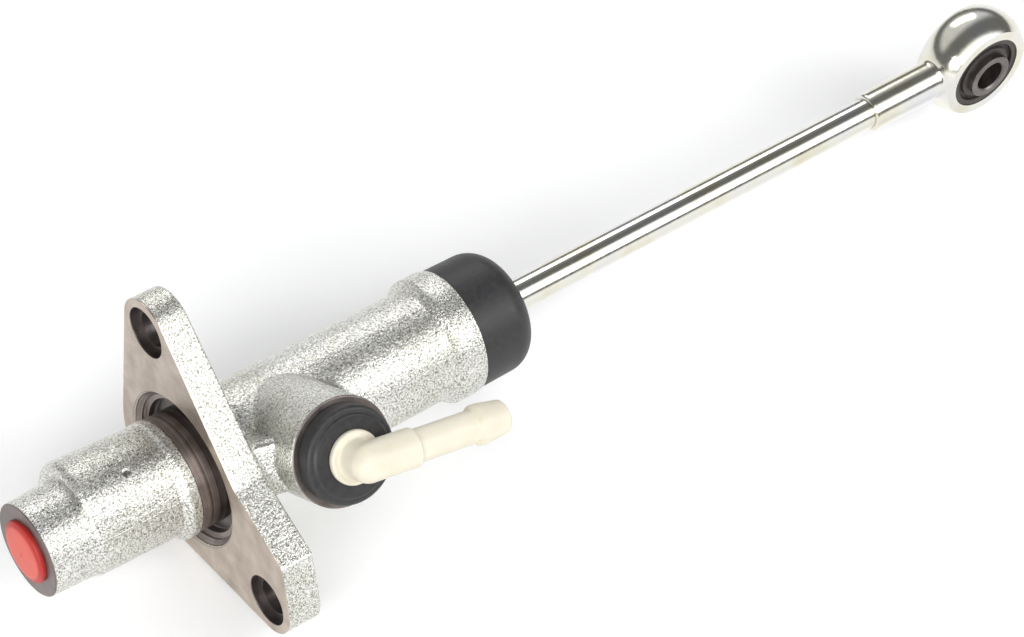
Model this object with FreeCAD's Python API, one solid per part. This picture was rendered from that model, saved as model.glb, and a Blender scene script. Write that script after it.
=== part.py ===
import FreeCAD, Part
import math
import os

# Clutch master cylinder. Millimetres. X is the bore axis and points to the pedal, +Z is up.
# The origin is where the bore axis meets the machined face of the mounting flange.
V = FreeCAD.Vector
ORIGIN = V(0, 0, 0)
X_AXIS = V(1, 0, 0)

# Fits
running_gap = 0.03
socket_gap = 0.08
face_gap = 0.02

# Shared edge rounds, and how far a cutter runs past a face
edge_round = 0.3
fine_round = 0.2
lip_round = 0.5
cut_over = 1.0

# Bore and rear end of the body
bore_r = 9.525
bore_blind_x = -27.0
bore_end_round = 0.8
rear_step = 1.175
rear_bore_r = bore_r + rear_step
rear_wall = 2.6
body_rear_x = 86.2
rear_counterbore_depth = 7.2
rear_land_x = body_rear_x - rear_counterbore_depth
rear_chamfer = 0.8

# Nose and outlet port
nose_x = -42.7
nose_front_r = 11.85
nose_mid_r = 12.25
nose_step_x = -30.3
nose_step_rise = 0.65
nose_rear_r = 13.25
nose_edge_round = 0.5
cast_ring_x = -8.6
cast_ring_r = 14.9
cast_ring_end_x = -4.6
cast_round = 1.0
swell_front_x = -31.2
swell_front_r = 13.4
swell_front_rise = 2.65
swell_rear_r = 13.5
swell_rear_rise = 1.1
swell_end_round = 2.2
outlet_thread_r = 5.5
outlet_depth = 10.5
outlet_drill_r = 1.6
outlet_chamfer = 0.6

# Flange
flange_t = 8.6
flange_back_slope = 1.2
flange_edge_round = 1.0
bolt_spacing = 68.0
bolt_line_offset = 14.2
bolt_line_turn = 42.4
bolt_hole_r = 4.5
bolt_sink_r = 6.5
bolt_sink_depth = 2.0
lobe_r = 8.7
flange_back_r = 24.4
corner_offset = 14.9
corner_drop = 26.7
corner_start_drop = 5.5
corner_r = 1.5
corner_hollow_r = 6.0
spigot_r = 14.6
seal_recess_r = 20.3
seal_recess_chamfer = 1.5
seal_recess_depth = 2.4
seal_groove_r = 17.4
seal_groove_depth = 4.4

# Barrel, collar and boot seat
barrel_front_r = 14.7
barrel_taper = 0.5
barrel_rear_r = barrel_front_r - barrel_taper
barrel_fillet = 3.4
seam_sink = 0.1
foot_sink = 0.4
boot_seat_length = 8.7
collar_end_x = body_rear_x - boot_seat_length
collar_length = 8.2
collar_x = collar_end_x - collar_length
collar_rise_length = 1.8
collar_r = 16.3
collar_end_drop = 0.3
collar_end_taper = 1.8
boot_seat_r = rear_bore_r + rear_wall
boot_groove_inset = 3.4
boot_groove_x = body_rear_x - boot_groove_inset
boot_groove_width = 2.0
boot_groove_depth = 0.8

# Inlet boss
boss_x = 25.5
boss_turn = 149.2
boss_r = 13.4
boss_face_h = 31.6
boss_fillet = 3.0
boss_edge_round = 0.4
web_half_width = 7.0
web_flange_h = 21.0
web_boss_h = 27.0
web_round = 2.0
grommet_hole_r = 10.0
grommet_hole_floor_h = 22.0
grommet_hole_chamfer = 0.5
boss_well_r = 7.8
boss_well_floor_h = 13.0
comp_port_r = 0.6
feed_port_r = 1.2

# Elbow and grommet
elbow_turn = -8.9
elbow_collar_t = 1.58
elbow_axis_rise = 4.6
elbow_stem_r = 5.4
elbow_barb_below = 1.7
elbow_foot_r = 6.2
elbow_collar_r = 6.6
elbow_thick_r = 4.8
elbow_thick_length = 12.0
elbow_thin_r = 4.05
hose_barb_x = 28.6
hose_barb_r = 4.95
elbow_end_x = 37.4
elbow_end_r = 4.1
elbow_bore_r = 2.5
elbow_step_length = 0.5
elbow_tip_taper = 0.5
elbow_collar_round = 0.8
elbow_root_round = 0.6
hose_barb_rise = 0.8
hose_barb_length = 2.4
hose_barb_round = 1.5
grommet_lip_r = 11.9
grommet_lip_t = 4.2
grommet_lip_round = 1.1
grommet_lead = 1.5
grommet_lead_taper = 1.0
grommet_ring_r = 9.8
grommet_ring_rise = 0.6
grommet_foot_gap = 1.0
grommet_foot_h = grommet_hole_floor_h + grommet_foot_gap

# Piston group
primary_cup_x = 19.8
primary_cup_length = 7.2
primary_cup_base = 3.0
piston_washer_t = 0.5
piston_washer_r = 9.0
piston_head_t = 2.5
piston_waist_r = 6.0
piston_rear_gap = 0.1
secondary_cup_inset = 17.7
secondary_cup_x = rear_land_x - secondary_cup_inset
secondary_cup_length = 5.2
secondary_floor_r = 6.6
land_lead = 1.6
waist_ramp = 1.5
waist_round = 1.0
piston_washer_hole_r = 1.6
primary_heel_round = 2.0
primary_lip_t = 1.1
primary_wall_t = 2.4
secondary_heel_length = 2.2
secondary_lip_t = 0.9
secondary_wall_t = 1.6
secondary_back_drop = 0.5

# Spring and its seat
wire_r = 0.8
spring_mean_r = 5.7
spring_turns = 9
spring_seat_t = 0.8
spring_pilot_length = 4.0
spring_pilot_gap = 0.3
spring_pilot_round = 0.8
spring_seat_r = 6.9
spring_end_gap = 0.1

# Stop washer and retaining ring
stop_washer_t = 1.5
stop_washer_hole_r = 5.3
snap_ring_t = 1.2
snap_ring_groove_depth = 0.8
snap_ring_groove_r = rear_bore_r + snap_ring_groove_depth
snap_ring_play = 0.1
snap_ring_r = snap_ring_groove_r - snap_ring_play
snap_ring_width = 1.9
snap_ring_gap_angle = 34.0
snap_eye_r = 1.7
snap_eye_inset = 0.5
snap_eye_hole_r = 0.8

# Push rod, eye and bush
rod_r = 4.0
ball_r = 5.5
ball_depth = 2.5
ball_x = rear_land_x - ball_depth
shank_x = 211.7
shank_r = 5.0
shank_grip = 16.0
shank_round = 0.8
eye_x = 248.0
eye_r = 15.0
eye_rim_r = 13.0
eye_half_width = 6.3
eye_fillet = 1.2
bush_r = 10.5
bush_inset = 0.35
bush_groove_r = 8.3
bush_groove_half_width = 0.7
bush_groove_depth = 1.2
sleeve_r = 6.25
sleeve_bore_r = 4.15
sleeve_half_length = 8.0
sleeve_chamfer = 0.4

# Dust boot
boot_side_t = 2.45
boot_r = boot_seat_r + boot_side_t
boot_taper = 0.25
boot_rear_r = boot_r - boot_taper
boot_reach = 8.2
boot_end_x = body_rear_x + boot_reach
boot_wall = 2.3
boot_end_wall = 3.0
boot_corner_round = 6.8
boot_lip_r = 5.8
boot_edge_round = 0.4
boot_step = 0.3

# Outlet plug
plug_cap_r = 7.9
plug_cap_t = 1.9
plug_stem_length = 8.0
plug_wall = 1.5
plug_dome_rise = 0.3
plug_dome_inset = 1.4
plug_dome_round = 6.0
plug_rim_drop = 1.0


def rounded_outline(corners):
    """A closed wire in the XZ plane through (x, r) or (x, r, rounding) corners."""
    count = len(corners)
    ends = []
    for i in range(count):
        here = V(corners[i][0], 0, corners[i][1])
        rounding = corners[i][2] if len(corners[i]) > 2 else 0
        if rounding == 0:
            ends.append((here, here, here))
            continue
        before = V(corners[i - 1][0], 0, corners[i - 1][1]) - here
        after = V(corners[(i + 1) % count][0], 0, corners[(i + 1) % count][1]) - here
        half = before.getAngle(after) / 2
        reach = rounding / math.tan(half)
        before.normalize()
        after.normalize()
        inward = (before + after).normalize()
        middle = here + inward * (rounding / math.sin(half) - rounding)
        ends.append((here + before * reach, middle, here + after * reach))
    edges = []
    for i in range(count):
        first, middle, last = ends[i]
        following = ends[(i + 1) % count][0]
        if first.distanceToPoint(last) > 1e-6:
            edges.append(Part.Arc(first, middle, last).toShape())
        if last.distanceToPoint(following) > 1e-6:
            edges.append(Part.LineSegment(last, following).toShape())
    return Part.Wire(edges)


def turned(corners):
    """A solid turned about the X axis."""
    return Part.Face(rounded_outline(corners)).revolve(ORIGIN, X_AXIS, 360)


def bar(x_start, x_end, r):
    """A round bar along the X axis."""
    return Part.makeCylinder(r, x_end - x_start, V(x_start, 0, 0), X_AXIS)


def bored(shape, cuts):
    """The shape less the cuts, as one solid."""
    return shape.cut(cuts).removeSplitter().Solids[0]


def on_boss(shape):
    """Moves a shape made along +X (height above the bore axis) to the inlet boss axis."""
    shape.rotate(ORIGIN, V(0, 0, 1), 90)
    shape.rotate(ORIGIN, X_AXIS, boss_turn)
    shape.translate(V(boss_x, 0, 0))
    return shape


def on_eye(shape):
    """Moves a shape made about +X to the cross axis of the rod eye."""
    shape.rotate(ORIGIN, V(0, 0, 1), 90)
    shape.translate(V(eye_x, 0, 0))
    return shape


def about_bore(shape):
    """Turns a flange feature, made with its bolt line along Z, to its place about the bore."""
    shape.rotate(ORIGIN, X_AXIS, bolt_line_turn - 90)
    return shape


def hull_outline(circles):
    """A closed wire round (y, z, r) circles, in the turn from +Y to +Z; r below 0 is a hollow corner."""
    count = len(circles)
    normals = []
    for i in range(count):
        y_a, z_a, r_a = circles[i]
        y_b, z_b, r_b = circles[(i + 1) % count]
        along = V(0, y_b - y_a, z_b - z_a)
        sine = (r_a - r_b) / along.Length
        along.normalize()
        across = V(0, along.z, -along.y)
        normals.append(along * sine + across * math.sqrt(1 - sine * sine))
    edges = []
    for i in range(count):
        y, z, r = circles[i]
        y_b, z_b, r_b = circles[(i + 1) % count]
        centre = V(0, y, z)
        start = math.atan2(normals[i - 1].z, normals[i - 1].y)
        sweep = (math.atan2(normals[i].z, normals[i].y) - start) % (2 * math.pi)
        if r < 0:
            sweep -= 2 * math.pi
        middle = V(0, math.cos(start + sweep / 2), math.sin(start + sweep / 2))
        leave = centre + normals[i] * r
        edges.append(Part.Arc(centre + normals[i - 1] * r, centre + middle * r, leave).toShape())
        edges.append(Part.LineSegment(leave, V(0, y_b, z_b) + normals[i] * r_b).toShape())
    return Part.Wire(edges)


def flange():
    """A lobe round each bolt and a wide back round the bore, with a cast corner on the low lobe."""
    near = -bolt_line_offset
    back = (0, 0, flange_back_r)
    top_lobe = (near, bolt_spacing / 2, lobe_r)
    low_lobe = (near, -bolt_spacing / 2, lobe_r)
    hollow = (near - lobe_r - corner_hollow_r, -corner_start_drop, -corner_hollow_r)
    corner = (near - corner_offset + corner_r, -corner_drop, corner_r)
    outline = hull_outline([back, top_lobe, hollow, corner, low_lobe])
    reach = 4 * flange_back_r
    behind = Part.makeBox(reach, 2 * reach, 2 * reach, V(flange_t, -reach, -reach))
    behind.rotate(V(flange_t, 0, 0), V(0, 1, 0), -flange_back_slope)
    plate = Part.Face(outline).extrude(V(2 * flange_t, 0, 0)).cut(behind)
    back_edges = [e for e in plate.Edges if e.BoundBox.XMin > flange_t / 2]
    return about_bore(plate.makeFillet(flange_edge_round, back_edges))


def bolt_holes():
    """The two bolt holes, each with a flat sink in the mounting face."""
    holes = []
    for side in (1, -1):
        hole = bar(-1, 2 * flange_t, bolt_hole_r)
        hole = hole.fuse(bar(-1, bolt_sink_depth, bolt_sink_r))
        hole.translate(V(0, -bolt_line_offset, side * bolt_spacing / 2))
        holes.append(about_bore(hole))
    return holes


def seal_recess():
    """The chamfered ring recess round the spigot, with a deeper groove against the spigot."""
    floor_r = seal_recess_r - seal_recess_chamfer
    return turned([
        (-1, spigot_r), (-1, seal_recess_r + 1), (seal_recess_chamfer, floor_r),
        (seal_recess_depth, floor_r, edge_round), (seal_recess_depth, seal_groove_r),
        (seal_groove_depth, seal_groove_r, lip_round), (seal_groove_depth, spigot_r)])


def front_core():
    """Nose, cast ring and spigot, and the round foot that joins flange and barrel."""
    foot_x = flange_t - 2 * cast_round
    foot_face_x = flange_t - foot_sink
    foot_r = barrel_front_r + barrel_fillet - seam_sink
    foot_end_x = foot_face_x + barrel_fillet
    foot_end_r = barrel_front_r - seam_sink
    return turned([
        (nose_x, 0), (nose_x, nose_front_r, nose_edge_round),
        (nose_step_x - nose_step_rise, nose_mid_r, cast_round),
        (nose_step_x + nose_step_rise, nose_mid_r + nose_step_rise, cast_round),
        (cast_ring_x, nose_rear_r, cast_round), (cast_ring_x + 2 * cast_round, cast_ring_r, cast_round),
        (cast_ring_end_x, cast_ring_r), (cast_ring_end_x, spigot_r), (foot_x, spigot_r), (foot_x, foot_r),
        (foot_face_x, foot_r), (foot_face_x, foot_end_r, barrel_fillet), (foot_end_x, foot_end_r),
        (foot_end_x, 0)])


def rear_core():
    """Barrel, collar and boot seat."""
    start_x = (seal_groove_depth + flange_t) / 2
    groove_end_x = boot_groove_x + boot_groove_width
    groove_r = boot_seat_r - boot_groove_depth
    return turned([
        (start_x, 0), (start_x, barrel_front_r), (collar_x, barrel_rear_r, cast_round),
        (collar_x + collar_rise_length, collar_r, 1.4 * cast_round),
        (collar_end_x - collar_end_taper, collar_r, 2.5 * cast_round),
        (collar_end_x, collar_r - collar_end_drop), (collar_end_x, boot_seat_r),
        (boot_groove_x, boot_seat_r), (boot_groove_x, groove_r),
        (groove_end_x, groove_r), (groove_end_x, boot_seat_r),
        (body_rear_x, boot_seat_r, lip_round), (body_rear_x, 0)])


def nose_swell():
    """The thicker upper half of the nose: a cast cone, set off and tilted towards the upper bolt."""
    end_x = cast_ring_end_x - cast_round
    run = end_x - swell_front_x
    fall = swell_front_rise - swell_rear_rise
    length = math.hypot(run, fall)
    swell = turned([(0, 0), (0, swell_front_r, swell_end_round), (length, swell_rear_r), (length, 0)])
    swell.rotate(ORIGIN, V(0, 1, 0), math.degrees(math.atan2(fall, run)))
    swell.translate(V(swell_front_x, 0, swell_front_rise))
    return about_bore(swell)


def boss_with_saddle():
    """Barrel and inlet boss, joined by the cast fillet of the saddle."""
    boss = on_boss(turned([(0, 0), (0, boss_r), (boss_face_h, boss_r, boss_edge_round), (boss_face_h, 0)]))
    joined = rear_core().fuse(boss)
    axis = on_boss(bar(0, boss_face_h, running_gap))
    seam = []
    for edge in joined.Edges:
        middle = edge.valueAt((edge.FirstParameter + edge.LastParameter) / 2)
        off_axis = Part.Vertex(middle).distToShape(axis)[0] + running_gap
        on_barrel = math.hypot(middle.y, middle.z) < barrel_front_r
        if abs(off_axis - boss_r) < running_gap and on_barrel and edge.BoundBox.XLength > boss_r / 2:
            seam.append(edge)
    return joined.makeFillet(boss_fillet, seam)


def web():
    """The cast web that fills the corner between flange, barrel and boss."""
    near_boss_x = boss_x - boss_r / 2
    points = [V(flange_t / 2, bore_r, 0), V(flange_t / 2, web_flange_h, 0), V(flange_t, web_flange_h, 0),
              V(near_boss_x, web_boss_h, 0), V(near_boss_x, bore_r, 0)]
    profile = Part.Face(Part.makePolygon(points + points[:1]))
    profile.translate(V(0, 0, -web_half_width))
    solid = profile.extrude(V(0, 0, 2 * web_half_width))
    long_edges = [e for e in solid.Edges if e.BoundBox.ZLength < 0.01 and e.BoundBox.XLength > flange_t / 2
                  and e.BoundBox.YMin > web_flange_h - 0.1]
    solid = solid.makeFillet(web_round, long_edges)
    solid.rotate(ORIGIN, X_AXIS, boss_turn)
    return solid


def inlet_passages():
    """Grommet bore and well in the boss, and the two small ports down to the bore."""
    well = on_boss(turned([
        (boss_well_floor_h, 0), (boss_well_floor_h, boss_well_r, lip_round),
        (grommet_hole_floor_h, boss_well_r),
        (grommet_hole_floor_h, grommet_hole_r), (boss_face_h - grommet_hole_chamfer, grommet_hole_r),
        (boss_face_h + grommet_hole_chamfer, grommet_hole_r + 2 * grommet_hole_chamfer),
        (boss_face_h + grommet_hole_chamfer, 0)]))
    head_end_x = primary_cup_x + primary_cup_length + piston_washer_t + piston_head_t
    ports = []
    comp_port_x = primary_cup_x - 1.5 * comp_port_r
    feed_port_x = head_end_x + 1.4 * feed_port_r
    for x, r in ((comp_port_x, comp_port_r), (feed_port_x, feed_port_r)):
        port = on_boss(bar(bore_r - 1, boss_well_floor_h + 1, r))
        port.translate(V(x - boss_x, 0, 0))
        ports.append(port)
    return [well] + ports


def bore_and_port():
    """The stepped bore from the rear, and the outlet port from the nose."""
    ring_x = rear_land_x + stop_washer_t
    ring_end_x = ring_x + snap_ring_t + 2 * face_gap
    bore = turned([
        (bore_blind_x, 0), (bore_blind_x, bore_r, bore_end_round), (rear_land_x, bore_r),
        (rear_land_x, rear_bore_r), (ring_x, rear_bore_r), (ring_x, snap_ring_groove_r),
        (ring_end_x, snap_ring_groove_r), (ring_end_x, rear_bore_r),
        (body_rear_x - rear_chamfer, rear_bore_r), (body_rear_x + 0.2, rear_bore_r + rear_chamfer + 0.2),
        (body_rear_x + 0.2, 0)])
    port_end_x = nose_x + outlet_depth
    port = turned([
        (nose_x - 0.2, 0), (nose_x - 0.2, outlet_thread_r + outlet_chamfer + 0.2),
        (nose_x + outlet_chamfer, outlet_thread_r), (port_end_x, outlet_thread_r),
        (port_end_x + outlet_drill_r, outlet_drill_r), (bore_blind_x + 1, outlet_drill_r),
        (bore_blind_x + 1, 0)])
    return [bore, port]


def cylinder_body():
    """The casting and all that is machined in it."""
    casting = boss_with_saddle()
    for piece in (front_core(), flange(), web(), nose_swell()):
        casting = casting.fuse(piece)
    cuts = bore_and_port() + inlet_passages() + bolt_holes() + [seal_recess()]
    return bored(casting, cuts)


def outlet_port_plug():
    """A moulded plug with a domed cap on the nose and a hollow stem in the port."""
    top = nose_x - plug_cap_t
    stem_r = outlet_thread_r - running_gap
    stem_end = nose_x + plug_stem_length
    return turned([
        (top, 0), (top + plug_dome_rise, plug_cap_r - plug_dome_inset, plug_dome_round),
        (top + plug_rim_drop, plug_cap_r, lip_round),
        (nose_x - face_gap, plug_cap_r), (nose_x - face_gap, stem_r), (stem_end, stem_r, lip_round),
        (stem_end, stem_r - plug_wall), (nose_x + plug_wall, stem_r - plug_wall), (nose_x + plug_wall, 0)])


def inlet_grommet():
    """The rubber grommet: a body in the boss, a lip on its face and a raised ring round the elbow."""
    hole_r = elbow_stem_r + running_gap
    body_r = grommet_hole_r - running_gap
    lip_h = boss_face_h + face_gap
    top_h = boss_face_h + grommet_lip_t
    return on_boss(turned([
        (grommet_foot_h, hole_r), (grommet_foot_h, body_r - grommet_lead_taper, lip_round),
        (grommet_foot_h + grommet_lead, body_r),
        (lip_h, body_r), (lip_h, grommet_lip_r, edge_round),
        (top_h, grommet_lip_r, grommet_lip_round),
        (top_h, grommet_ring_r + grommet_ring_rise, edge_round),
        (top_h + grommet_ring_rise, grommet_ring_r, edge_round),
        (top_h + grommet_ring_rise, hole_r)]))


def inlet_elbow():
    """The nylon elbow: barbed stem, collar, and a side tube with a step and a hose barb."""
    seat_h = boss_face_h + grommet_lip_t + grommet_ring_rise + face_gap
    collar_top_h = seat_h + elbow_collar_t
    axis_h = collar_top_h + elbow_axis_rise
    foot_h = grommet_foot_h - elbow_barb_below
    stem = turned([
        (foot_h, 0), (foot_h, elbow_stem_r), (grommet_foot_h - 3 * face_gap, elbow_foot_r),
        (grommet_foot_h - 3 * face_gap, elbow_stem_r), (seat_h, elbow_stem_r),
        (seat_h, elbow_collar_r, edge_round),
        (collar_top_h, elbow_collar_r, elbow_collar_round),
        (collar_top_h, elbow_thick_r, elbow_root_round),
        (axis_h, elbow_thick_r), (axis_h, 0)])
    tube = turned([
        (0, 0), (0, elbow_thick_r), (elbow_thick_length, elbow_thick_r, fine_round),
        (elbow_thick_length + elbow_step_length, elbow_thin_r, fine_round), (hose_barb_x, elbow_thin_r),
        (hose_barb_x + hose_barb_rise, hose_barb_r, fine_round),
        (hose_barb_x + hose_barb_length, hose_barb_r, hose_barb_round),
        (elbow_end_x - elbow_tip_taper, elbow_end_r, edge_round),
        (elbow_end_x, elbow_end_r - elbow_tip_taper), (elbow_end_x, 0)])
    tube_bore = bar(0, elbow_end_x + cut_over, elbow_bore_r)
    corner = Part.makeSphere(elbow_thick_r)
    for piece in (tube, tube_bore, corner):
        piece.rotate(ORIGIN, V(0, 0, 1), -90)
        piece.rotate(ORIGIN, X_AXIS, elbow_turn)
        piece.translate(V(axis_h, 0, 0))
    stem_bore = bar(foot_h - cut_over, axis_h, elbow_bore_r)
    elbow = stem.fuse([tube, corner]).removeSplitter().cut([tube_bore, stem_bore])
    return on_boss(elbow.Solids[0])


def piston():
    """The turned piston: head, waist, rear land with the secondary groove, and the ball socket."""
    land_r = bore_r - running_gap
    head_x = primary_cup_x + primary_cup_length + piston_washer_t
    waist_x = head_x + piston_head_t
    groove_end_x = secondary_cup_x + secondary_cup_length
    rear_x = rear_land_x - piston_rear_gap
    shape = turned([
        (head_x, 0), (head_x, land_r, edge_round), (waist_x, land_r, edge_round),
        (waist_x + waist_ramp, piston_waist_r, waist_round),
        (secondary_cup_x - land_lead - waist_ramp, piston_waist_r, waist_round),
        (secondary_cup_x - land_lead, land_r, edge_round),
        (secondary_cup_x, land_r), (secondary_cup_x, secondary_floor_r), (groove_end_x, secondary_floor_r),
        (groove_end_x, land_r), (rear_x, land_r, edge_round), (rear_x, 0)])
    socket_r = ball_r + socket_gap
    socket = Part.makeSphere(socket_r, V(ball_x, 0, 0)).fuse(bar(ball_x, rear_x + cut_over, socket_r))
    return bored(shape, [socket])


def primary_cup():
    """The pressure cup: a flat base on the washer and a lip that opens to the pressure side."""
    lip_r = bore_r - running_gap
    base_x = primary_cup_x + primary_cup_length
    hollow_x = base_x - primary_cup_base
    return turned([
        (base_x, 0), (base_x, piston_washer_r, lip_round), (hollow_x, piston_washer_r, primary_heel_round),
        (primary_cup_x, lip_r), (primary_cup_x + edge_round, lip_r - primary_lip_t, fine_round),
        (hollow_x, lip_r - primary_wall_t, lip_round),
        (hollow_x, 0)])


def piston_washer():
    """The thin washer between the cup and the piston head."""
    x = primary_cup_x + primary_cup_length
    return turned([(x, piston_washer_hole_r), (x, piston_washer_r), (x + piston_washer_t, piston_washer_r),
                   (x + piston_washer_t, piston_washer_hole_r)])


def secondary_cup():
    """The ring cup that keeps fluid from the push rod end."""
    lip_r = bore_r - running_gap
    floor_r = secondary_floor_r + face_gap
    front_x = secondary_cup_x + face_gap
    back_x = secondary_cup_x + secondary_cup_length - face_gap
    return turned([
        (back_x, floor_r), (back_x, lip_r - secondary_back_drop, edge_round),
        (back_x - secondary_heel_length, lip_r - secondary_back_drop, waist_round), (front_x, lip_r),
        (front_x + edge_round, lip_r - secondary_lip_t, fine_round),
        (back_x - secondary_heel_length, lip_r - secondary_wall_t, lip_round),
        (front_x + 2 * edge_round, floor_r + lip_round, fine_round), (front_x + edge_round, floor_r)])


def spring_seat():
    """The pressed cap in the primary cup: a disc and a hollow pilot for the spring."""
    base_x = primary_cup_x + primary_cup_length - primary_cup_base - face_gap
    disc_x = base_x - spring_seat_t
    pilot_r = spring_mean_r - wire_r - spring_pilot_gap
    hollow_r = pilot_r - spring_seat_t
    pilot_x = disc_x - spring_pilot_length
    return turned([
        (base_x, hollow_r), (base_x, spring_seat_r, edge_round), (disc_x, spring_seat_r, fine_round),
        (disc_x, pilot_r, fine_round), (pilot_x, pilot_r, spring_pilot_round), (pilot_x, 0),
        (pilot_x + spring_seat_t, 0),
        (pilot_x + spring_seat_t, hollow_r, edge_round)])


def return_spring():
    """The return spring from the blind end of the bore to the spring seat."""
    seat_x = primary_cup_x + primary_cup_length - primary_cup_base - face_gap - spring_seat_t
    start_x = bore_blind_x + wire_r + spring_end_gap
    end_x = seat_x - wire_r - spring_end_gap
    height = end_x - start_x
    helix = Part.makeHelix(height / spring_turns, height, spring_mean_r)
    wire = Part.Wire(Part.makeCircle(wire_r, V(spring_mean_r, 0, 0), V(0, 1, 0)))
    spring = Part.Wire(helix.Edges).makePipeShell([wire], True, True)
    spring.rotate(ORIGIN, V(0, 1, 0), 90)
    spring.translate(V(start_x, 0, 0))
    return spring


def stop_washer():
    """The thick washer on the step of the bore."""
    outer_r = rear_bore_r - running_gap
    end_x = rear_land_x + stop_washer_t - face_gap
    return turned([
        (rear_land_x + face_gap, stop_washer_hole_r), (rear_land_x + face_gap, outer_r, fine_round),
        (end_x, outer_r, fine_round), (end_x, stop_washer_hole_r)])


def snap_ring():
    """The internal retaining ring: an open ring with two eyes for the pliers."""
    x = rear_land_x + stop_washer_t + face_gap
    inner_r = snap_ring_r - snap_ring_width
    ring = bar(x, x + snap_ring_t, snap_ring_r).cut(bar(x - 1, x + snap_ring_t + 1, inner_r))
    half = math.radians(snap_ring_gap_angle / 2)
    reach = 2 * snap_ring_r
    mouth = Part.Face(Part.makePolygon([
        V(x - 1, 0, 0), V(x - 1, reach * math.sin(half), reach * math.cos(half)),
        V(x - 1, -reach * math.sin(half), reach * math.cos(half)), V(x - 1, 0, 0)]))
    ring = ring.cut(mouth.extrude(V(snap_ring_t + 2, 0, 0)))
    eye_at = snap_ring_r - snap_eye_r - snap_eye_inset
    eyes = []
    holes = []
    for side in (1, -1):
        angle = side * (half + math.atan2(snap_eye_r - snap_eye_hole_r, eye_at))
        place = V(0, eye_at * math.sin(angle), eye_at * math.cos(angle))
        eye = bar(x, x + snap_ring_t, snap_eye_r)
        eye.translate(place)
        hole = bar(x - cut_over, x + snap_ring_t + cut_over, snap_eye_hole_r)
        hole.translate(place)
        eyes.append(eye)
        holes.append(hole)
    return bored(ring.fuse(eyes), holes)


def push_rod():
    """The rod with its ball end."""
    end_x = shank_x + shank_grip
    rod = turned([(ball_x, 0), (ball_x, rod_r), (end_x, rod_r, lip_round), (end_x, 0)])
    return rod.fuse(Part.makeSphere(ball_r, V(ball_x, 0, 0))).removeSplitter().Solids[0]


def rod_eye():
    """The forged eye: a ring with a rounded back, and a shank bored for the rod."""
    rim = [V(side * eye_half_width, 0, eye_rim_r) for side in (-1, 1)]
    inner = [V(side * eye_half_width, 0, bush_r) for side in (-1, 1)]
    section = Part.Wire([
        Part.Arc(rim[0], V(0, 0, eye_r), rim[1]).toShape(), Part.LineSegment(rim[1], inner[1]).toShape(),
        Part.LineSegment(inner[1], inner[0]).toShape(), Part.LineSegment(inner[0], rim[0]).toShape()])
    ring = on_eye(Part.Face(section).revolve(ORIGIN, X_AXIS, 360))
    shank_end_x = eye_x - (bush_r + eye_r) / 2
    shank = turned([(shank_x, 0), (shank_x, shank_r, shank_round), (shank_end_x, shank_r), (shank_end_x, 0)])
    eye = ring.fuse(shank)
    seam = [e for e in eye.Edges if e.BoundBox.XMax < eye_x - eye_rim_r + 2
            and e.BoundBox.XMin > shank_end_x - 4 and e.BoundBox.ZLength > shank_r / 2
            and abs(e.CenterOfMass.x - eye_x) > bush_r + 1]
    eye = eye.makeFillet(eye_fillet, seam)
    rod_hole = bar(shank_x - cut_over, shank_x + shank_grip + fine_round, rod_r + face_gap)
    return bored(eye, [rod_hole])


def eye_bush():
    """The rubber bush, with a moulded groove in each face."""
    half = eye_half_width - bush_inset
    outer_r = bush_r - face_gap
    inner_r = sleeve_r + face_gap
    groove_in = bush_groove_r - bush_groove_half_width
    groove_out = bush_groove_r + bush_groove_half_width
    floor = half - bush_groove_depth
    return on_eye(turned([
        (-half, inner_r), (-half, groove_in, fine_round), (-floor, groove_in, edge_round),
        (-floor, groove_out, edge_round), (-half, groove_out, fine_round), (-half, outer_r), (half, outer_r),
        (half, groove_out, fine_round), (floor, groove_out, edge_round), (floor, groove_in, edge_round),
        (half, groove_in, fine_round), (half, inner_r)]))


def bush_sleeve():
    """The steel sleeve for the pedal pin."""
    end = sleeve_half_length
    edge = end - sleeve_chamfer
    return on_eye(turned([
        (-end, sleeve_bore_r + sleeve_chamfer), (-end, sleeve_r, fine_round), (end, sleeve_r, fine_round),
        (end, sleeve_bore_r + sleeve_chamfer), (edge, sleeve_bore_r), (-edge, sleeve_bore_r)]))


def dust_boot():
    """The rubber boot: a bead in the groove of the body, a thin bell and a lip round the rod."""
    seat_r = boot_seat_r + face_gap
    bead_r = boot_seat_r - boot_groove_depth + face_gap
    bead_x = boot_groove_x + face_gap
    bead_end_x = boot_groove_x + boot_groove_width - face_gap
    end_wall_x = boot_end_x - boot_end_wall
    inner_r = boot_rear_r - boot_wall
    return turned([
        (collar_end_x + face_gap, seat_r), (collar_end_x + face_gap, boot_r, boot_edge_round),
        (boot_end_x, boot_rear_r, boot_corner_round), (boot_end_x, boot_lip_r, boot_edge_round),
        (end_wall_x, boot_lip_r, boot_edge_round), (end_wall_x, inner_r, boot_corner_round - boot_wall),
        (body_rear_x + boot_step, inner_r), (body_rear_x, seat_r), (bead_end_x, seat_r), (bead_end_x, bead_r),
        (bead_x, bead_r), (bead_x, seat_r)])


NODES = {
    "cylinder_body": cylinder_body,
    "outlet_port_plug": outlet_port_plug,
    "inlet_grommet": inlet_grommet,
    "inlet_elbow": inlet_elbow,
    "piston": piston,
    "primary_cup": primary_cup,
    "piston_washer": piston_washer,
    "secondary_cup": secondary_cup,
    "spring_seat": spring_seat,
    "return_spring": return_spring,
    "stop_washer": stop_washer,
    "snap_ring": snap_ring,
    "push_rod": push_rod,
    "rod_eye": rod_eye,
    "eye_bush": eye_bush,
    "bush_sleeve": bush_sleeve,
    "dust_boot": dust_boot,
}

os.makedirs("parts", exist_ok=True)
for name, make in NODES.items():
    shape = make()
    shape.exportStep("parts/" + name + ".step")
    print(name, "valid" if shape.isValid() else "NOT VALID", "solids", len(shape.Solids),
          "volume", round(shape.Volume, 1))
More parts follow.
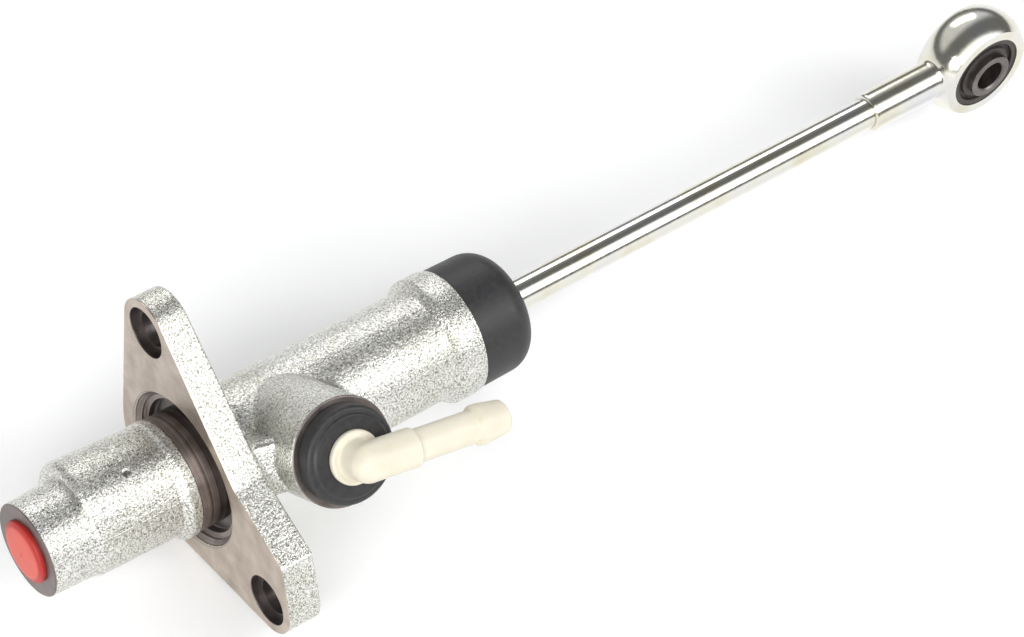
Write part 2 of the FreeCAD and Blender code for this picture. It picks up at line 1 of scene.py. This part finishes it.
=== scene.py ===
import bpy
import math
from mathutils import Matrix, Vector


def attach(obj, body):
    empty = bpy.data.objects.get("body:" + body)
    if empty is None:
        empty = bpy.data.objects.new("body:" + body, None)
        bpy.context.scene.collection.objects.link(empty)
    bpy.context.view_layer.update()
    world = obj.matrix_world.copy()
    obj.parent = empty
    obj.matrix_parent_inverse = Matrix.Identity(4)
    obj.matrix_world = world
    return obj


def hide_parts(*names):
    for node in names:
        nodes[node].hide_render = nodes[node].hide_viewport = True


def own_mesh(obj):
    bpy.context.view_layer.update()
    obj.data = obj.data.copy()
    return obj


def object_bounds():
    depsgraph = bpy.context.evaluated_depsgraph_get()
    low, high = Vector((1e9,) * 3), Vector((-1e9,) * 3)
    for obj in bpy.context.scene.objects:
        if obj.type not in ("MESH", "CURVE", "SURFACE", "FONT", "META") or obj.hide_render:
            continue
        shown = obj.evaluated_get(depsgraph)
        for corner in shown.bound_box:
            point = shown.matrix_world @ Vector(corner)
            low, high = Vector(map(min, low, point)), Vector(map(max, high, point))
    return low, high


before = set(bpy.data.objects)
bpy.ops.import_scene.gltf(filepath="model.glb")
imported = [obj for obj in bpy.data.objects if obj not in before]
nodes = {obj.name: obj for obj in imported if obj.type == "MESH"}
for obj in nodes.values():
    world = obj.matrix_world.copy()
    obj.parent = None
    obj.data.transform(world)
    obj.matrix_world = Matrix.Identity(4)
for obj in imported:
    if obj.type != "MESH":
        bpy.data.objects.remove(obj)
cad_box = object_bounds()

# The camera: the viewpoint of the photograph, from above the nose end and a little to one side,
# with a long lens. Its place was found by fitting the flange, nose, boss and rod to the picture.
bpy.ops.object.camera_add(location=(-0.356467, -0.498726, 0.735174),
                          rotation=(math.radians(42.0615), math.radians(-4.233), math.radians(-37.6593)))
camera = bpy.context.active_object
camera.data.sensor_width = 36.0
camera.data.lens = 144.1535
camera.data.clip_start = 0.05
bpy.context.scene.camera = camera

# The studio: a white backdrop all round, with a wide soft box above each side of the part and a dark
# ceiling between them. The rod mirrors the boxes as bright bands and the ceiling as a dark streak.
bpy.context.scene.view_settings.view_transform = "Standard"
world = bpy.data.worlds.new("studio")
bpy.context.scene.world = world
world.use_nodes = True
sky = world.node_tree
sky.nodes.clear()


def calc(tree, operation, first, second=None):
    """A Math node; each input is a socket or a number."""
    node = tree.nodes.new("ShaderNodeMath")
    node.operation = operation
    for slot, value in enumerate((first, second)):
        if isinstance(value, (int, float)):
            node.inputs[slot].default_value = value
        elif value is not None:
            tree.links.new(value, node.inputs[slot])
    return node.outputs[0]


def fit(tree, value, low, high, result_low=0.0, result_high=1.0, step="LINEAR"):
    """A Map Range node: one result at low, the other at high, and none outside them."""
    node = tree.nodes.new("ShaderNodeMapRange")
    node.interpolation_type = step
    for name, number in (("From Min", low), ("From Max", high), ("To Min", result_low), ("To Max", result_high)):
        node.inputs[name].default_value = number
    tree.links.new(value, node.inputs["Value"])
    return node.outputs["Result"]


def seen(tree, mirrored_part):
    """1 for what the camera sees, and the given part for what metal mirrors or glass lets through."""
    ray = tree.nodes.new("ShaderNodeLightPath").outputs
    mirrored = calc(tree, "MAXIMUM", ray["Is Glossy Ray"], ray["Is Transmission Ray"])
    return calc(tree, "MAXIMUM", ray["Is Camera Ray"], calc(tree, "MULTIPLY", mirrored, mirrored_part))


direction = sky.nodes.new("ShaderNodeSeparateXYZ")
sky.links.new(sky.nodes.new("ShaderNodeTexCoord").outputs["Generated"], direction.inputs[0])
across, height = direction.outputs["Y"], direction.outputs["Z"]
box_inner, box_outer = 0.16, 0.52
box_bottom, box_top = 0.20, 0.48
ceiling_strength, box_strength, far_box_part = 0.17, 1.8, 0.40
backdrop_full, backdrop_end = 0.03, 0.12
box = calc(sky, "MULTIPLY", fit(sky, calc(sky, "ABSOLUTE", across), box_inner, box_outer, step="SMOOTHSTEP"),
           fit(sky, height, box_bottom, box_top, step="SMOOTHSTEP"))
box = calc(sky, "MULTIPLY", box, fit(sky, across, -0.25, 0.25, 1.0, far_box_part, step="SMOOTHSTEP"))
sky_light = sky.nodes.new("ShaderNodeBackground")
sky_light.inputs["Color"].default_value = (0.98, 0.985, 1.0, 1.0)
sky.links.new(fit(sky, box, 0.0, 1.0, ceiling_strength, box_strength, step="SMOOTHSTEP"),
              sky_light.inputs["Strength"])
backdrop = sky.nodes.new("ShaderNodeBackground")
backdrop.inputs["Color"].default_value = (1.0, 1.0, 1.0, 1.0)
sky_mix = sky.nodes.new("ShaderNodeMixShader")
mirrored_backdrop = fit(sky, height, backdrop_full, backdrop_end, 1.0, 0.0, step="SMOOTHSTEP")
sky.links.new(seen(sky, mirrored_backdrop), sky_mix.inputs["Fac"])
sky.links.new(sky_light.outputs["Background"], sky_mix.inputs[1])
sky.links.new(backdrop.outputs["Background"], sky_mix.inputs[2])
sky_out = sky.nodes.new("ShaderNodeOutputWorld")
sky.links.new(sky_mix.outputs["Shader"], sky_out.inputs["Surface"])
lamps_aim = Vector((0.09, 0.0, 0.0))
for name, place, width, length, watts in (("lamp_back", (0.45, 0.70, 0.60), 0.60, 0.30, 1.7),
                                          ("lamp_front", (-0.75, -0.45, 0.40), 0.45, 0.45, 4.6),
                                          ("lamp_right", (0.70, -0.65, 0.55), 0.40, 0.35, 2.2)):
    bpy.ops.object.light_add(type="AREA", location=place)
    lamp = bpy.context.active_object
    lamp.name = name
    lamp.data.shape = "RECTANGLE"
    lamp.data.size = width
    lamp.data.size_y = length
    lamp.data.energy = watts
    lamp.rotation_euler = (lamps_aim - Vector(place)).to_track_quat("-Z", "Y").to_euler()

# The table: a wide sheet of matt white card just below the part. It is stage, not part of the object,
# and it takes the soft shadow. The camera and the metal see it a little whiter than it lights the part.
table_gap = 0.0005
bpy.ops.mesh.primitive_plane_add(size=6.0, location=(0.1, 0.0, cad_box[0][2] - table_gap))
table = bpy.context.active_object
table.name = "table"
card = bpy.data.materials.new("table_card")
card.use_nodes = True
tree = card.node_tree
shader = tree.nodes["Principled BSDF"]
white = seen(tree, 1.0)
for socket, unseen, shown in (("Base Color", (0.80, 0.79, 0.77, 1.0), (0.95, 0.95, 0.95, 1.0)),
                              ("Emission Color", (0.0, 0.0, 0.0, 1.0), (0.16, 0.16, 0.16, 1.0))):
    shade = tree.nodes.new("ShaderNodeMix")
    shade.data_type = "RGBA"
    shade.inputs[6].default_value = unseen
    shade.inputs[7].default_value = shown
    tree.links.new(white, shade.inputs[0])
    tree.links.new(shade.outputs[2], shader.inputs[socket])
shader.inputs["Emission Strength"].default_value = 1.0
shader.inputs["Roughness"].default_value = 0.9
shader.inputs["Specular IOR Level"].default_value = 0.1
table.data.materials.append(card)

# The cylinder body: cast iron, zinc plated, with a dense sparkling grain from the sand of the mould.
# Flange face, seal recess, bolt sinks, nose end and boss rim are machined after plating, so they show
# brownish bare metal with faint turning marks.


def new_material(name):
    """A new material: its tree, its Principled shader and its object coordinates."""
    material = bpy.data.materials.new(name)
    material.use_nodes = True
    tree = material.node_tree
    return material, tree, tree.nodes["Principled BSDF"], tree.nodes.new("ShaderNodeTexCoord").outputs["Object"]


def split(tree, place):
    """The X, Y and Z of a coordinate."""
    node = tree.nodes.new("ShaderNodeSeparateXYZ")
    tree.links.new(place, node.inputs[0])
    return node.outputs["X"], node.outputs["Y"], node.outputs["Z"]


def distance(tree, first, second):
    """The length of the vector with these two components."""
    squares = [calc(tree, "MULTIPLY", value, value) for value in (first, second)]
    return calc(tree, "SQRT", calc(tree, "ADD", *squares))


def distance_to(tree, place, point):
    """How far the place is from a point."""
    offsets = [calc(tree, "SUBTRACT", value, number) for value, number in zip(split(tree, place), point)]
    return distance(tree, distance(tree, offsets[0], offsets[1]), offsets[2])


def band(tree, value, low, high, soft):
    """1 where the value is between low and high, with soft edges."""
    rise, fall = fit(tree, value, low - soft, low + soft), fit(tree, value, high + soft, high - soft)
    return calc(tree, "MULTIPLY", rise, fall)


def ramp(tree, value, stops):
    """A colour ramp through (position, colour) stops."""
    node = tree.nodes.new("ShaderNodeValToRGB")
    while len(node.color_ramp.elements) < len(stops):
        node.color_ramp.elements.new(0.5)
    for element, (position, colour) in zip(node.color_ramp.elements, stops):
        element.position = position
        element.color = (*colour, 1.0)
    tree.links.new(value, node.inputs["Fac"])
    return node.outputs["Color"]


def blend(tree, factor, first, second, kind="MIX"):
    """A Mix node for colours; the factor is a socket or a number, the rest are sockets or colours."""
    node = tree.nodes.new("ShaderNodeMix")
    node.data_type = "RGBA"
    node.blend_type = kind
    for slot, value in ((0, factor), (6, first), (7, second)):
        if isinstance(value, tuple):
            node.inputs[slot].default_value = (*value, 1.0)
        elif isinstance(value, (int, float)):
            node.inputs[slot].default_value = value
        else:
            tree.links.new(value, node.inputs[slot])
    return node.outputs[2]


def noise(tree, place, scale, detail, roughness):
    """Noise with so many cells to the metre."""
    node = tree.nodes.new("ShaderNodeTexNoise")
    node.inputs["Scale"].default_value = scale
    node.inputs["Detail"].default_value = detail
    node.inputs["Roughness"].default_value = roughness
    tree.links.new(place, node.inputs["Vector"])
    return node.outputs["Fac"]


def bump(tree, shader, height, strength, depth):
    """Relief from a height; the depth is in metres."""
    node = tree.nodes.new("ShaderNodeBump")
    node.inputs["Strength"].default_value = strength
    node.inputs["Distance"].default_value = depth
    tree.links.new(height, node.inputs["Height"])
    tree.links.new(node.outputs["Normal"], shader.inputs["Normal"])


def dress(names, material):
    """The solids with these names take the material."""
    for name in names:
        for slot in nodes[name].material_slots:
            slot.material = material


material, tree, shader, place = new_material("plated_casting")
along, side, up = split(tree, place)
from_bore = distance(tree, side, up)
# Where the tools have cut: each mask is 1 on its machined surface. Along is from the flange face.
boss_angle = math.radians(149.2)
boss_height = calc(tree, "ADD", calc(tree, "MULTIPLY", side, math.cos(boss_angle)),
                   calc(tree, "MULTIPLY", up, math.sin(boss_angle)))
face_front, face_back, face_inner, beyond = -0.0006, 0.0003, 0.0152, 0.09
flange_face = calc(tree, "MULTIPLY", band(tree, along, face_front, face_back, 0.00008),
                   band(tree, from_bore, face_inner, beyond, 0.0002))
spigot_front, recess_front, groove_front, cut_floor = -0.0040, 0.0005, 0.0026, 0.0046
spigot_inner, spigot_outer, recess_inner, groove_outer, recess_outer = 0.0144, 0.0148, 0.0150, 0.0178, 0.0209
tool_edge = 0.0001
spigot = calc(tree, "MULTIPLY", band(tree, along, spigot_front, cut_floor, tool_edge),
              band(tree, from_bore, spigot_inner, spigot_outer, tool_edge))
recess = calc(tree, "MULTIPLY", band(tree, along, recess_front, cut_floor, tool_edge),
              band(tree, from_bore, recess_inner, recess_outer, tool_edge))
groove = calc(tree, "MULTIPLY", band(tree, along, groove_front, cut_floor, tool_edge),
              band(tree, from_bore, spigot_inner, groove_outer, tool_edge))
nose_end_x, rim_height, rim_front = -0.0424, 0.0313, 0.0112
nose_end = band(tree, along, -0.05, nose_end_x, tool_edge)
boss_rim = calc(tree, "MULTIPLY", band(tree, boss_height, rim_height, 0.05, tool_edge),
                band(tree, along, rim_front, 0.05, 0.0002))
sink_radius, sink_front, sink_back = 0.00665, 0.0002, 0.02
sinks = []
for hole_y, hole_z in ((0.01553, 0.03341), (-0.03468, -0.01244)):
    from_hole = distance(tree, calc(tree, "SUBTRACT", side, hole_y), calc(tree, "SUBTRACT", up, hole_z))
    sinks.append(calc(tree, "MULTIPLY", band(tree, from_hole, -0.01, sink_radius, 0.00005),
                      band(tree, along, sink_front, sink_back, tool_edge)))
# The seal groove and the bolt sinks: deep cuts that get painted shade below.
shaded_cut = calc(tree, "MAXIMUM", groove, calc(tree, "MAXIMUM", sinks[0], sinks[1]))
satin_cut = calc(tree, "MAXIMUM", spigot, recess)
machined = calc(tree, "MAXIMUM", calc(tree, "MAXIMUM", flange_face, calc(tree, "MAXIMUM", shaded_cut, satin_cut)),
                calc(tree, "MAXIMUM", nose_end, boss_rim))
# The plated skin: a fine sparkle, tinted in slow clouds, with one casting pit, the mould's parting line and
# painted shade.
grain = noise(tree, place, 2300.0, 3.0, 0.7)
lumps = noise(tree, place, 800.0, 3.0, 0.6)
cloud = noise(tree, place, 60.0, 3.0, 0.5)
smear = noise(tree, place, 180.0, 4.0, 0.55)
speckle = ramp(tree, grain, [(0.30, (0.06, 0.058, 0.05)), (0.40, (0.33, 0.325, 0.295)),
                             (0.48, (0.68, 0.675, 0.635)), (0.56, (0.94, 0.94, 0.925))])
tint = ramp(tree, cloud, [(0.35, (0.88, 0.88, 0.82)), (0.65, (1.0, 1.0, 0.985))])
speckle = blend(tree, 1.0, speckle, tint, "MULTIPLY")
pit = fit(tree, distance_to(tree, place, (-0.0176, -0.0031, 0.0139)), 0.0012, 0.0006)
seam_angle, seam_half_width, seam_front, seam_rear = math.radians(154.0), 0.00013, -0.0412, -0.0062
seam = calc(tree, "SUBTRACT", calc(tree, "MULTIPLY", up, math.cos(seam_angle)),
            calc(tree, "MULTIPLY", side, math.sin(seam_angle)))
seam = calc(tree, "MULTIPLY", band(tree, seam, -seam_half_width, seam_half_width, 0.0001),
            band(tree, along, seam_front, seam_rear, 0.0002))
# Painted shade: the skin is darkened towards a point in the hollow between flange and boss, where shade falls.
hollow_shade = distance_to(tree, place, (0.0150, -0.0098, 0.0160))
speckle = blend(tree, fit(tree, hollow_shade, 0.0085, 0.001, 0.0, 0.55), speckle, (0.20, 0.20, 0.17), "MULTIPLY")
speckle = blend(tree, calc(tree, "MULTIPLY", pit, 0.8), speckle, (0.10, 0.095, 0.085))
speckle = blend(tree, calc(tree, "MULTIPLY", seam, 0.45), speckle, (0.20, 0.19, 0.17))
# The bare metal, with its own tone for each cut, partly painted shade in the deep cuts, and the lathe's lines on
# spigot and recess.
lathe = tree.nodes.new("ShaderNodeCombineXYZ")
tree.links.new(along, lathe.inputs[0])
tree.links.new(from_bore, lathe.inputs[1])
lathe = noise(tree, lathe.outputs[0], 1400.0, 3.0, 0.6)
bare = ramp(tree, smear, [(0.3, (0.40, 0.335, 0.28)), (0.7, (0.62, 0.54, 0.47))])
bare = blend(tree, boss_rim, bare, ramp(tree, smear, [(0.3, (0.16, 0.135, 0.125)), (0.7, (0.30, 0.26, 0.24))]))
turned = ramp(tree, smear, [(0.3, (0.26, 0.22, 0.20)), (0.7, (0.48, 0.42, 0.39))])
lathe_lines = ramp(tree, lathe, [(0.38, (0.40, 0.37, 0.37)), (0.50, (0.78, 0.76, 0.75)),
                                 (0.62, (1.0, 1.0, 1.0))])
turned = blend(tree, 1.0, turned, lathe_lines, "MULTIPLY")
bare = blend(tree, satin_cut, bare, turned)
bare = blend(tree, nose_end, bare, ramp(tree, smear, [(0.3, (0.15, 0.125, 0.12)), (0.7, (0.24, 0.205, 0.19))]))
# Painted shade: the seal groove and the bolt sinks are bare metal darkened further for the shade in their depth.
bare = blend(tree, shaded_cut, bare, ramp(tree, smear, [(0.3, (0.11, 0.095, 0.09)), (0.7, (0.21, 0.185, 0.175))]))
tree.links.new(blend(tree, machined, speckle, bare), shader.inputs["Base Color"])
rough = tree.nodes.new("ShaderNodeMix")
tree.links.new(machined, rough.inputs[0])
tree.links.new(fit(tree, lumps, 0.3, 0.7, 0.17, 0.32), rough.inputs[2])
tree.links.new(fit(tree, smear, 0.3, 0.7, 0.30, 0.42), rough.inputs[3])
tree.links.new(rough.outputs[0], shader.inputs["Roughness"])
shader.inputs["Metallic"].default_value = 0.92
# The relief: sand from the mould on the skin, fine rings on what is cut.
sand = calc(tree, "ADD", calc(tree, "MULTIPLY", grain, 0.6), calc(tree, "MULTIPLY", lumps, 0.9))
sand = calc(tree, "ADD", sand, calc(tree, "MULTIPLY", seam, 0.5))
sand = calc(tree, "SUBTRACT", sand, calc(tree, "MULTIPLY", pit, 1.5))
sand = calc(tree, "MULTIPLY", sand, fit(tree, machined, 0.0, 1.0, 1.0, 0.06))
tool_lines_per_metre = 16000.0 / (2 * math.pi)
turning = calc(tree, "SINE", calc(tree, "MULTIPLY", from_bore, 2 * math.pi * tool_lines_per_metre))
turning = calc(tree, "MULTIPLY", turning, 0.02)
bump(tree, shader, calc(tree, "ADD", sand, calc(tree, "MULTIPLY", turning, machined)), 0.75, 0.0003)
dress(["cylinder_body"], material)

# The push rod and its forged eye: bright zinc plate, close to a mirror, with a faint warm tint.
# The eye's shank is pressed over the end of the rod.
material, tree, shader, place = new_material("bright_zinc")
haze = noise(tree, place, 90.0, 3.0, 0.5)
fine = noise(tree, place, 1500.0, 3.0, 0.6)
plate = ramp(tree, haze, [(0.3, (0.68, 0.65, 0.52)), (0.5, (0.76, 0.745, 0.665)), (0.7, (0.71, 0.71, 0.72))])
tree.links.new(plate, shader.inputs["Base Color"])
tree.links.new(fit(tree, fine, 0.3, 0.7, 0.10, 0.20), shader.inputs["Roughness"])
shader.inputs["Metallic"].default_value = 1.0
bump(tree, shader, fine, 0.15, 0.00004)
dress(["push_rod", "rod_eye"], material)

# The rubber pieces: black moulded rubber with a satin skin, and the browner rubber of the eye bush,
# which is bonded round its sleeve. The skin is a grain that the steel and plastic pieces share.
surface_grain = bpy.data.node_groups.new("surface_grain", "ShaderNodeTree")
for name, kind, way in (("Vector", "NodeSocketVector", "INPUT"), ("Scale", "NodeSocketFloat", "INPUT"),
                        ("Dark", "NodeSocketColor", "INPUT"), ("Light", "NodeSocketColor", "INPUT"),
                        ("Smooth", "NodeSocketFloat", "INPUT"), ("Rough", "NodeSocketFloat", "INPUT"),
                        ("Color", "NodeSocketColor", "OUTPUT"), ("Roughness", "NodeSocketFloat", "OUTPUT"),
                        ("Height", "NodeSocketFloat", "OUTPUT")):
    surface_grain.interface.new_socket(name=name, in_out=way, socket_type=kind)
inside = surface_grain.nodes.new("NodeGroupInput").outputs
outside = surface_grain.nodes.new("NodeGroupOutput").inputs
skin = surface_grain.nodes.new("ShaderNodeTexNoise")
skin.inputs["Detail"].default_value = 4.0
skin.inputs["Roughness"].default_value = 0.6
surface_grain.links.new(inside["Vector"], skin.inputs["Vector"])
surface_grain.links.new(inside["Scale"], skin.inputs["Scale"])
spread = fit(surface_grain, skin.outputs["Fac"], 0.3, 0.7)
tone = surface_grain.nodes.new("ShaderNodeMix")
tone.data_type = "RGBA"
for source, socket in ((spread, 0), (inside["Dark"], 6), (inside["Light"], 7)):
    surface_grain.links.new(source, tone.inputs[socket])
gloss = surface_grain.nodes.new("ShaderNodeMix")
for source, socket in ((spread, 0), (inside["Smooth"], 2), (inside["Rough"], 3)):
    surface_grain.links.new(source, gloss.inputs[socket])
surface_grain.links.new(tone.outputs[2], outside["Color"])
surface_grain.links.new(gloss.outputs[0], outside["Roughness"])
surface_grain.links.new(skin.outputs["Fac"], outside["Height"])


def grained(name, scale, dark, light, smooth, rough, strength, depth):
    """A material with the shared grain in its colour, gloss and relief."""
    material, tree, shader, place = new_material(name)
    node = tree.nodes.new("ShaderNodeGroup")
    node.node_tree = surface_grain
    tree.links.new(place, node.inputs["Vector"])
    for socket, value in (("Scale", scale), ("Dark", (*dark, 1.0)), ("Light", (*light, 1.0)),
                          ("Smooth", smooth), ("Rough", rough)):
        node.inputs[socket].default_value = value
    tree.links.new(node.outputs["Color"], shader.inputs["Base Color"])
    tree.links.new(node.outputs["Roughness"], shader.inputs["Roughness"])
    bump(tree, shader, node.outputs["Height"], strength, depth)
    return material, tree, shader, place


material, tree, shader, place = grained("black_rubber", 700.0, (0.018, 0.018, 0.019), (0.036, 0.035, 0.037),
                                        0.42, 0.56, 0.2, 0.0001)
dress(["dust_boot", "inlet_grommet", "primary_cup", "secondary_cup"], material)
material, tree, shader, place = grained("bush_rubber", 900.0, (0.034, 0.028, 0.026), (0.066, 0.056, 0.051),
                                        0.5, 0.65, 0.3, 0.0001)
dress(["eye_bush"], material)

# The small steel pieces: the sleeve for the pedal pin, the washers, the retaining ring and the spring's seat.
# They are plain oiled steel, darker than the plating.
material, tree, shader, place = grained("oiled_steel", 300.0, (0.12, 0.105, 0.10), (0.22, 0.195, 0.185),
                                        0.30, 0.44, 0.1, 0.00005)
shader.inputs["Metallic"].default_value = 0.95
dress(["bush_sleeve", "piston_washer", "spring_seat", "stop_washer", "snap_ring"], material)

# The return spring: hard steel wire coiled in nine turns, with the first and last turn closed.
# It stands on the blind end of the bore, drawn at one length, in the same oiled steel.
wire_radius, coil_radius, turns = 0.0008, 0.0057, 9
spring_start, spring_end, closed_rise, steps = -0.0261, 0.02228, 0.0017, 36
wire = bpy.data.curves.new("return_spring_wire", "CURVE")
wire.dimensions = "3D"
wire.bevel_depth = wire_radius
wire.bevel_resolution = 3
closed_turns = 1
line = wire.splines.new("POLY")
line.points.add(turns * steps)
for i in range(turns * steps + 1):
    turn = i / steps
    middle = min(max((turn - closed_turns) / (turns - 2 * closed_turns), 0.0), 1.0)
    ends = min(turn, closed_turns) + max(turn - turns + closed_turns, 0.0)
    x = spring_start + closed_rise * ends + (spring_end - spring_start - 2 * closed_rise) * middle
    angle = 2 * math.pi * turn
    line.points[i].co = (x, coil_radius * math.cos(angle), coil_radius * math.sin(angle), 1.0)
coil = bpy.data.objects.new("return_spring_coil", wire)
bpy.context.collection.objects.link(coil)
bpy.ops.object.select_all(action="DESELECT")
coil.select_set(True)
bpy.context.view_layer.objects.active = coil
bpy.ops.object.convert(target="MESH")
coil = bpy.context.active_object
bpy.ops.object.shade_smooth()
coil.data.materials.clear()
coil.data.materials.append(material)
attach(coil, "housing")
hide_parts("return_spring")
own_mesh(coil)

# The piston: turned aluminium. The tool leaves fine rings round it.
material, tree, shader, place = new_material("turned_aluminium")
rings = calc(tree, "SINE", calc(tree, "MULTIPLY", split(tree, place)[0], 30000.0))
stain = noise(tree, place, 400.0, 3.0, 0.5)
tree.links.new(ramp(tree, stain, [(0.3, (0.62, 0.62, 0.63)), (0.7, (0.74, 0.74, 0.75))]),
               shader.inputs["Base Color"])
tree.links.new(fit(tree, stain, 0.3, 0.7, 0.26, 0.36), shader.inputs["Roughness"])
shader.inputs["Metallic"].default_value = 1.0
bump(tree, shader, rings, 0.15, 0.00002)
dress(["piston"], material)

# The inlet elbow: one cream nylon moulding, a little translucent, with a soft shine.
material, tree, shader, place = grained("cream_nylon", 120.0, (0.78, 0.72, 0.57), (0.86, 0.81, 0.67), 0.36, 0.46,
                                        0.05, 0.0002)
shader.inputs["Subsurface Weight"].default_value = 0.15
shader.inputs["Subsurface Radius"].default_value = (0.003, 0.0025, 0.0015)
shader.inputs["Subsurface Scale"].default_value = 1.0
dress(["inlet_elbow"], material)

# The transit plug: moulded red polyethylene of one red, with painted light on its crown (coral) and painted
# shade round its rim (deeper red).
# Its stem is pushed in the outlet port.
material, tree, shader, place = new_material("red_plug")
along, side, up = split(tree, place)
# Painted light and shade: the crown round the plug's axis is painted a lighter coral and the rim a deeper red.
lit_crown = band(tree, distance(tree, side, up), -0.01, 0.0066, 0.0004)
cloud = noise(tree, place, 200.0, 3.0, 0.5)
coral = ramp(tree, cloud, [(0.3, (0.70, 0.105, 0.075)), (0.7, (0.78, 0.135, 0.10))])
tree.links.new(blend(tree, lit_crown, (0.46, 0.022, 0.016), coral), shader.inputs["Base Color"])
tree.links.new(fit(tree, cloud, 0.3, 0.7, 0.40, 0.48), shader.inputs["Roughness"])
bump(tree, shader, cloud, 0.05, 0.0002)
dress(["outlet_port_plug"], material)
